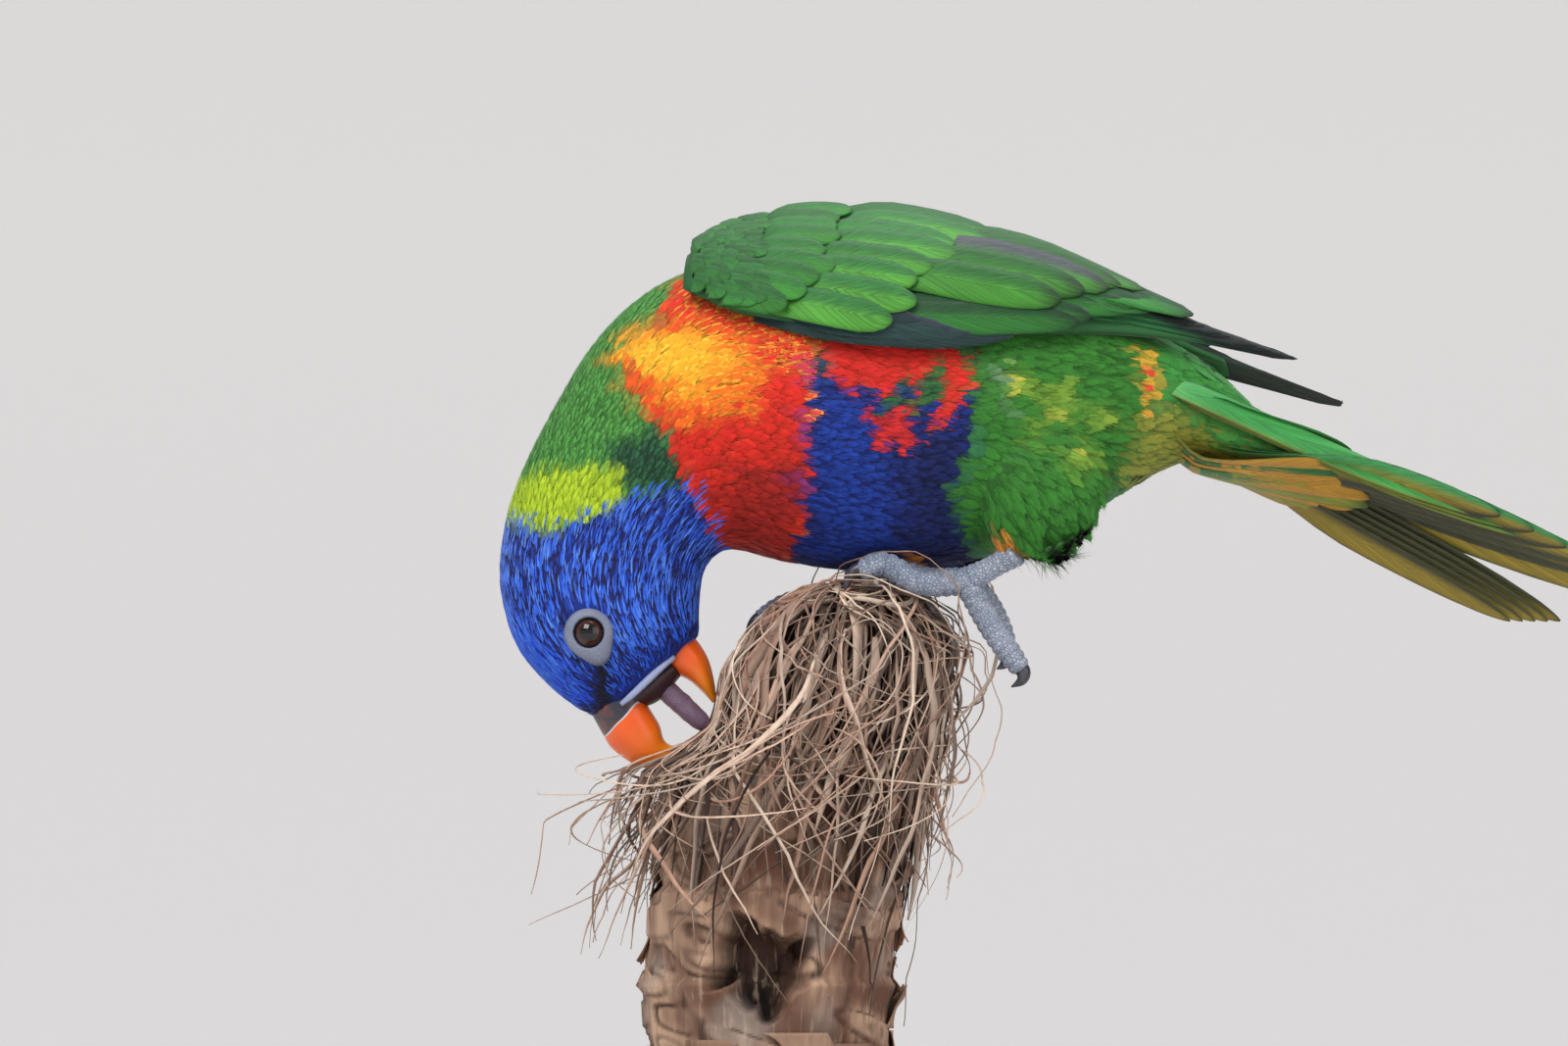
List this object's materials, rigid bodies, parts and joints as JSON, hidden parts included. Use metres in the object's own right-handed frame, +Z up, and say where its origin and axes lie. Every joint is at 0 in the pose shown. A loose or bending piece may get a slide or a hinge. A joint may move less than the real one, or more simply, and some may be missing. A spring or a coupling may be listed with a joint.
{
  "type": "rainbow lorikeet",
  "caption": "Rainbow lorikeet with streaked hood, open hooked bill, folded wings and long tail, bending head down from the frayed top of a cut palm stem held on a round stand.",
  "frame": {"origin": "centre of the round stand's underside, on the surface it rests on", "axes": "+X from the head towards the tail, along the longest side; +Z up, away from the base's underside; -Y is the side with the bird's left eye and wing"},
  "size_m": [0.2875, 0.16, 0.2297],
  "materials": {
    "hood_feathers": "soft streaked feathers",
    "body_feathers": "soft overlapping feathers",
    "wing_feathers": "smooth satin vanes",
    "tail_feathers": "smooth satin vanes",
    "bill": "smooth satin horn",
    "tongue": "moist skin",
    "eye": "wet gloss",
    "foot_skin": "matt scaled skin",
    "claw": "satin horn",
    "stem_bark": "papery weathered bark",
    "stem_fibre": "dry frayed fibre",
    "stand_wood": "satin lacquered",
    "stand_steel": "brushed"
  },
  "bodies": {
    "root": {"head": "hood_feathers", "neck": "body_feathers", "torso": "body_feathers", "bill_upper": "bill", "bill_lower": "bill", "tongue": "tongue", "eye_left": "eye", "eye_right": "eye", "thigh_left": "body_feathers", "thigh_right": "body_feathers", "foot_left": "foot_skin", "foot_right": "foot_skin", "claw_left_1": "claw", "claw_left_2": "claw", "claw_left_3": "claw", "claw_left_4": "claw", "claw_right_1": "claw", "claw_right_2": "claw", "claw_right_3": "claw", "claw_right_4": "claw", "wing_left": "wing_feathers", "wing_right": "wing_feathers", "tail": "tail_feathers", "perch_stem": "stem_bark", "perch_crown": "stem_fibre", "stand_base": "stand_wood", "stand_rod": "stand_steel"}
  },
  "joints": []
}
